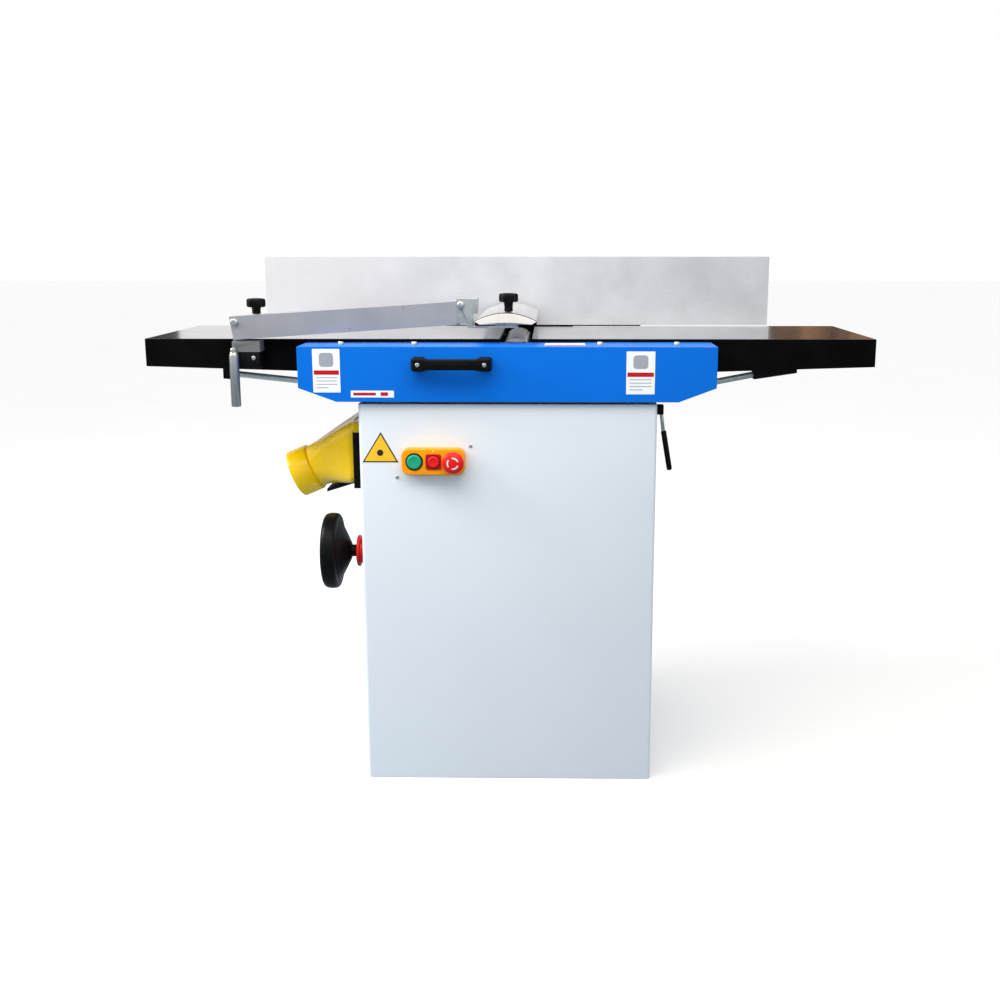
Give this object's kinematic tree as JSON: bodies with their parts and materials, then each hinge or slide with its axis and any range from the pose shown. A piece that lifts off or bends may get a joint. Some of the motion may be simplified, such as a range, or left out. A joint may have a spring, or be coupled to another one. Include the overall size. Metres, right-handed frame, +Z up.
{
  "type": "jointer",
  "caption": "Jointer and thickness planer on a pale sheet cabinet: two long tables, a blue apron, a tilting silver fence, a bridge guard and a yellow dust hood.",
  "frame": {"origin": "on the floor under the centre of the cabinet", "axes": "+X along the tables towards the infeed end, -Y to the operator, +Z up"},
  "size_m": [1.4, 0.8, 1.0075],
  "materials": {
    "cabinet": "satin powder coat",
    "apron": "satin blue powder coat",
    "table": "black painted casting with a ground top",
    "ground_iron": "ground",
    "cast_grey": "dark casting",
    "black_metal": "black paint",
    "steel": "turned",
    "knife": "ground",
    "aluminium": "machined",
    "fence": "light silver, satin",
    "arm": "brushed silver",
    "profile": "extruded",
    "end_cap": "cream plastic",
    "post": "satin silver",
    "zinc": "zinc plated",
    "black_plastic": "black",
    "rubber": "black",
    "motor": "dark grey paint",
    "switch": "orange yellow",
    "hood": "glossy golden yellow",
    "red_plastic": "red",
    "green_plastic": "green"
  },
  "bodies": {
    "cabinet": {"cabinet_shell": "cabinet", "base_plate": "cabinet", "rear_cover": "cabinet", "cable_gland": "black_plastic", "hinge_bracket_left": "black_metal", "hinge_bracket_right": "black_metal", "cutter_frame": "cast_grey", "front_bearing": "steel", "rear_bearing": "steel", "motor_housing": "motor", "motor_bracket": "black_metal", "drive_belt": "rubber", "column_guide": "cast_grey", "gear_bracket": "black_metal", "handwheel_flange": "red_plastic", "switch_housing": "switch"},
    "upper_tables": {"outfeed_table": "table", "outfeed_brace": "zinc", "apron": "apron", "grab_handle": "black_plastic", "rear_beam": "black_metal", "fence_support": "black_metal", "guard_mount": "black_metal", "guard_block": "cast_grey", "arm_pivot_bolt": "zinc"},
    "infeed_table": {"infeed_table": "table", "infeed_brace": "zinc"},
    "fence_carriage": {"fence_slide": "zinc"},
    "fence": {"fence_plate": "fence"},
    "fence_lock": {"fence_lock_lever": "black_plastic"},
    "tilt_knob": {"tilt_knob": "black_plastic"},
    "guard_arm": {"guard_arm": "arm"},
    "guard_head": {"guard_bracket": "zinc"},
    "guard_slide": {"guard_profile": "profile", "guard_end_cap": "end_cap"},
    "arm_knob": {"arm_knob": "black_plastic"},
    "profile_knob": {"profile_knob": "black_plastic"},
    "guard_clamp": {"guard_clamp_lever": "post"},
    "cutterblock": {"cutterblock": "steel", "knife_1": "knife", "knife_2": "knife", "knife_3": "knife", "cutter_pulley": "aluminium"},
    "motor_rotor": {"motor_rotor": "steel", "motor_pulley": "aluminium"},
    "feed_roller_left": {"feed_roller_left": "steel"},
    "feed_roller_right": {"feed_roller_right": "rubber"},
    "kickback": {"kickback_fingers": "steel"},
    "thickness_table": {"thickness_table": "ground_iron", "lift_column": "steel"},
    "handwheel": {"handwheel": "black_plastic", "handwheel_shaft": "steel"},
    "lift_screw": {"lift_screw": "steel"},
    "dust_hood": {"hood_shell": "hood", "hood_base": "black_metal"},
    "lock_lever": {"lock_lever": "black_plastic"},
    "start_button": {"start_button": "green_plastic"},
    "stop_button": {"stop_button": "red_plastic"},
    "emergency_button": {"emergency_button": "red_plastic"}
  },
  "joints": [
    {"name": "tables_lift", "type": "hinge", "parent": "cabinet", "child": "upper_tables", "pos_m": [0, 0.29, 0.79], "axis": [-1, 0, 0], "range_deg": [0, 90]},
    {"name": "infeed_depth", "type": "slide", "parent": "upper_tables", "child": "infeed_table", "axis": [0, 0, 1], "range_m": [-0.004, 0]},
    {"name": "fence_slide", "type": "slide", "parent": "upper_tables", "child": "fence_carriage", "axis": [0, -1, 0], "range_m": [0, 0.2]},
    {"name": "fence_tilt", "type": "hinge", "parent": "fence_carriage", "child": "fence", "pos_m": [0.07, 0.245, 0.884], "axis": [-1, 0, 0], "range_deg": [0, 45]},
    {"name": "fence_lock_turn", "type": "hinge", "parent": "upper_tables", "child": "fence_lock", "pos_m": [0.07, 0.3225, 0.894], "axis": [0, 0, 1], "range_deg": [0, 90]},
    {"name": "tilt_knob_turn", "type": "hinge", "parent": "fence_carriage", "child": "tilt_knob", "pos_m": [0.113, 0.245, 0.884], "axis": [1, 0, 0], "range_deg": [-180, 180]},
    {"name": "guard_arm_lift", "type": "hinge", "parent": "upper_tables", "child": "guard_arm", "pos_m": [-0.5155, -0.175, 0.8915], "axis": [0, -1, 0], "range_deg": [-3.5, 12]},
    {"name": "guard_head_level", "type": "hinge", "parent": "guard_arm", "child": "guard_head", "pos_m": [-0.0885, -0.175, 0.924], "axis": [0, -1, 0], "range_deg": [-12, 3.5]},
    {"name": "guard_profile_slide", "type": "slide", "parent": "guard_head", "child": "guard_slide", "axis": [0, -1, 0], "range_m": [0, 0.2]},
    {"name": "arm_knob_turn", "type": "hinge", "parent": "guard_arm", "child": "arm_knob", "pos_m": [-0.477, -0.175, 0.92], "axis": [0, 0, 1], "range_deg": [-180, 180]},
    {"name": "profile_knob_turn", "type": "hinge", "parent": "guard_slide", "child": "profile_knob", "pos_m": [0, -0.165, 0.93], "axis": [0, 0, 1], "range_deg": [-180, 180]},
    {"name": "guard_clamp_turn", "type": "hinge", "parent": "upper_tables", "child": "guard_clamp", "pos_m": [-0.517, -0.2015, 0.84], "axis": [0, 1, 0], "range_deg": [0, 90]},
    {"name": "cutterblock_spin", "type": "hinge", "parent": "cabinet", "child": "cutterblock", "pos_m": [0.012, 0.03, 0.823], "axis": [0, 1, 0], "continuous": true},
    {"name": "motor_spin", "type": "hinge", "parent": "cabinet", "child": "motor_rotor", "pos_m": [-0.17, 0, 0.17], "axis": [0, 1, 0], "continuous": true},
    {"name": "feed_roller_left_spin", "type": "hinge", "parent": "cabinet", "child": "feed_roller_left", "pos_m": [-0.063, 0.03, 0.807], "axis": [0, 1, 0], "continuous": true},
    {"name": "feed_roller_right_spin", "type": "hinge", "parent": "cabinet", "child": "feed_roller_right", "pos_m": [0.087, 0.03, 0.807], "axis": [0, 1, 0], "continuous": true},
    {"name": "kickback_swing", "type": "hinge", "parent": "cabinet", "child": "kickback", "pos_m": [-0.105, 0.03, 0.812], "axis": [0, -1, 0], "range_deg": [0, 40]},
    {"name": "handwheel_turn", "type": "hinge", "parent": "cabinet", "child": "handwheel", "pos_m": [-0.346, -0.17, 0.444], "axis": [-1, 0, 0], "range_deg": [0, 19800]},
    {"name": "lift_screw_turn", "type": "hinge", "parent": "cabinet", "child": "lift_screw", "pos_m": [-0.02, -0.17, 0.58], "axis": [0, 0, 1], "range_deg": [-19800, 0]},
    {"name": "thickness_table_lift", "type": "slide", "parent": "cabinet", "child": "thickness_table", "axis": [0, 0, 1], "range_m": [0, 0.22]},
    {"name": "dust_hood_off", "type": "slide", "parent": "cabinet", "child": "dust_hood", "axis": [-1, 0, 0], "range_m": [0, 0.12]},
    {"name": "lock_lever_turn", "type": "hinge", "parent": "cabinet", "child": "lock_lever", "pos_m": [0.2865, -0.19, 0.728], "axis": [1, 0, 0], "range_deg": [0, 90]},
    {"name": "start_button_press", "type": "slide", "parent": "cabinet", "child": "start_button", "axis": [0, 1, 0], "range_m": [0, 0.0035], "stiffness_N_per_m": 250, "springref_m": -0.006},
    {"name": "stop_button_press", "type": "slide", "parent": "cabinet", "child": "stop_button", "axis": [0, 1, 0], "range_m": [0, 0.0035], "stiffness_N_per_m": 250, "springref_m": -0.006},
    {"name": "emergency_button_press", "type": "slide", "parent": "cabinet", "child": "emergency_button", "axis": [0, 1, 0], "range_m": [0, 0.0035], "stiffness_N_per_m": 250, "springref_m": -0.006}
  ],
  "couplings": [
    {"joint": "guard_head_level", "follows": "guard_arm_lift", "ratio": -1},
    {"joint": "guard_profile_slide", "follows": "fence_slide", "ratio": 1},
    {"joint": "motor_spin", "follows": "cutterblock_spin", "ratio": 0.55556},
    {"joint": "feed_roller_right_spin", "follows": "feed_roller_left_spin", "ratio": 1},
    {"joint": "lift_screw_turn", "follows": "handwheel_turn", "ratio": -1},
    {"joint": "thickness_table_lift", "follows": "handwheel_turn", "m_per_rad": 0.00063662}
  ]
}
